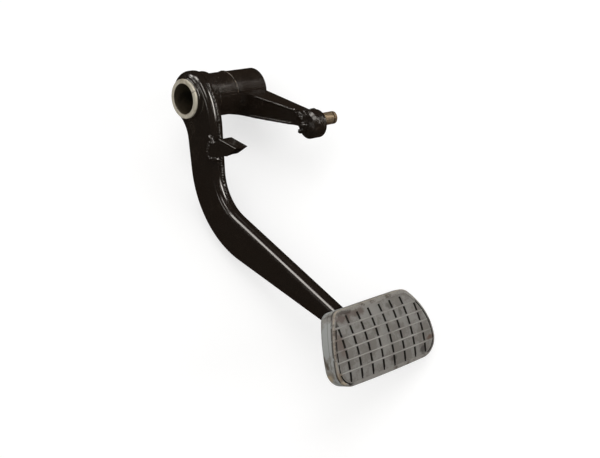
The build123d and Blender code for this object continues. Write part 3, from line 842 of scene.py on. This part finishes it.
# %% Pale table
table, wire = new_material("pale table")
floor_grey = (0.44, 0.44, 0.44, 1.0)
floor_glow = 0.61
light_path = wire.add("ShaderNodeLightPath").outputs
behind = wire.add("ShaderNodeNewGeometry").outputs["Backfacing"]
matt = wire.add("ShaderNodeBsdfDiffuse", {"Color": floor_grey})
lift = wire.add("ShaderNodeEmission", {
    "Color": (1.0, 1.0, 1.0, 1.0),
    "Strength": wire.product(light_path["Is Camera Ray"], floor_glow)})
pale = wire.add("ShaderNodeAddShader", {0: matt.outputs[0], 1: lift.outputs[0]})
dark = wire.add("ShaderNodeEmission", {"Color": linear(40, 32, 26), "Strength": 1.0})
seen = wire.add("ShaderNodeMixShader", {0: light_path["Is Glossy Ray"],
                                        1: pale.outputs[0], 2: dark.outputs[0]})
clear = wire.add("ShaderNodeBsdfTransparent")
whole = wire.add("ShaderNodeMixShader", {0: behind, 1: seen.outputs[0], 2: clear.outputs[0]})
output = wire.add("ShaderNodeOutputMaterial")
wire.feed(whole.outputs[0], output.inputs["Surface"])
floor_mesh.materials.append(table)
print("table:", len(wire.tree.nodes), "nodes")

# %% [markdown]
# Two soft boxes and an even studio world light the pedal at a plain level, so a colour renders
# about as it is written. Places are given in the picture's own directions: right, up and
# towards the camera. The boxes stay out of the gloss, which has its own lights in the world.

# %% Lights
part_middle = Vector((8, -50, -96)) * MM


def in_picture(right, up, near):
    return picture_right * right + picture_up * up + to_camera * near


def soft_box(name, place, size, power):
    """A square lamp in metres and watts, turned to the middle of the part."""
    data = bpy.data.lights.new(name, "AREA")
    data.shape = "RECTANGLE"
    data.size = size
    data.size_y = size
    data.energy = power
    lamp = bpy.data.objects.new(name, data)
    lamp.location = part_middle + in_picture(*place)
    lamp.rotation_mode = "QUATERNION"
    lamp.rotation_quaternion = (part_middle - lamp.location).to_track_quat("-Z", "Y")
    lamp.visible_glossy = False
    scene.collection.objects.link(lamp)
    print(name, "power:", power, "W")


soft_box("overhead box", (0.25, 0.95, 0.85), 0.9, 5.0)
soft_box("right box", (0.9, 0.1, 0.7), 0.5, 3.5)

# %% [markdown]
# Glossy black paint shows little but what it mirrors. The world is white to the camera and an
# even soft light to matt surfaces, but the gloss sees a dark room with a few bright strips.
# Each strip has a direction, a second direction that its long side points to, two half-widths
# measured as sines of angles, and a strength. The strips stand where the highlights on the
# folds and welds of the photograph need them.

# %% Strips in the mirrored room
world = bpy.data.worlds.new("studio")
scene.world = world
world.use_nodes = True
world.node_tree.nodes.clear()
wire = Wiring(world.node_tree)
towards = wire.add("ShaderNodeTexCoord").outputs["Generated"]


def along_axis(axis):
    return wire.vector("DOT_PRODUCT", towards, tuple(axis)).outputs["Value"]


def strip(centre, end, half_long, half_wide, strength):
    """A bright strip in the mirrored room, its long side pointing to the end."""
    middle = in_picture(*centre).normalized()
    long_axis = in_picture(*end).normalized() - middle
    long_axis = (long_axis - middle * long_axis.dot(middle)).normalized()
    wide_axis = middle.cross(long_axis)
    in_length = wire.step(wire.math("ABSOLUTE", along_axis(long_axis)), half_long, half_long * 0.5)
    in_width = wire.step(wire.math("ABSOLUTE", along_axis(wide_axis)), half_wide, half_wide * 0.4)
    ahead = wire.step(along_axis(middle), 0.0, 0.1)
    return wire.product(in_length, in_width, ahead, strength)


strips = [
    strip((-0.56, 0.68, 0.46), (-0.82, 0.36, 0.43), 0.32, 0.22, 9.0),
    strip((-0.28, 0.45, 0.85), (-0.15, -0.1, 0.95), 0.24, 0.15, 7.0),
    strip((-0.84, 0.52, 0.13), (-0.3, 0.9, 0.08), 0.24, 0.12, 9.0),
    strip((0.84, 0.38, 0.42), (0.72, 0.62, 0.28), 0.44, 0.15, 15.0),
    strip((0.98, 0.12, 0.06), (0.95, -0.2, 0.05), 0.20, 0.14, 0.3),
    strip((0.52, 0.20, 0.83), (0.4, 0.5, 0.8), 0.12, 0.08, 3.0),
    strip((-0.88, 0.02, 0.47), (-0.82, 0.36, 0.43), 0.18, 0.11, 4.0),
]
mirrored = 0.02
for glow in strips:
    mirrored = wire.math("ADD", glow, mirrored)
print("strips in the mirrored room:", len(strips))

# %% [markdown]
# The world's parts are put together with the Light Path node, which tells what kind of ray
# asks. Matt surfaces get the even light, the gloss gets the strips and the camera gets white.

# %% World
light_path = wire.add("ShaderNodeLightPath").outputs
matt_light = wire.add("ShaderNodeBackground", {"Color": (1.0, 0.99, 0.97, 1.0), "Strength": 0.72})
gloss_light = wire.add("ShaderNodeBackground", {"Color": (1.0, 0.96, 0.9, 1.0), "Strength": mirrored})
white = wire.add("ShaderNodeBackground", {"Color": (1.0, 1.0, 1.0, 1.0), "Strength": 1.0})
for_surfaces = wire.add("ShaderNodeMixShader", {0: light_path["Is Glossy Ray"],
                                                1: matt_light.outputs[0], 2: gloss_light.outputs[0]})
for_all = wire.add("ShaderNodeMixShader", {0: light_path["Is Camera Ray"],
                                           1: for_surfaces.outputs[0], 2: white.outputs[0]})
output = wire.add("ShaderNodeOutputWorld")
wire.feed(for_all.outputs[0], output.inputs["Surface"])
scene.view_settings.view_transform = "Standard"
print("world:", len(wire.tree.nodes), "nodes")
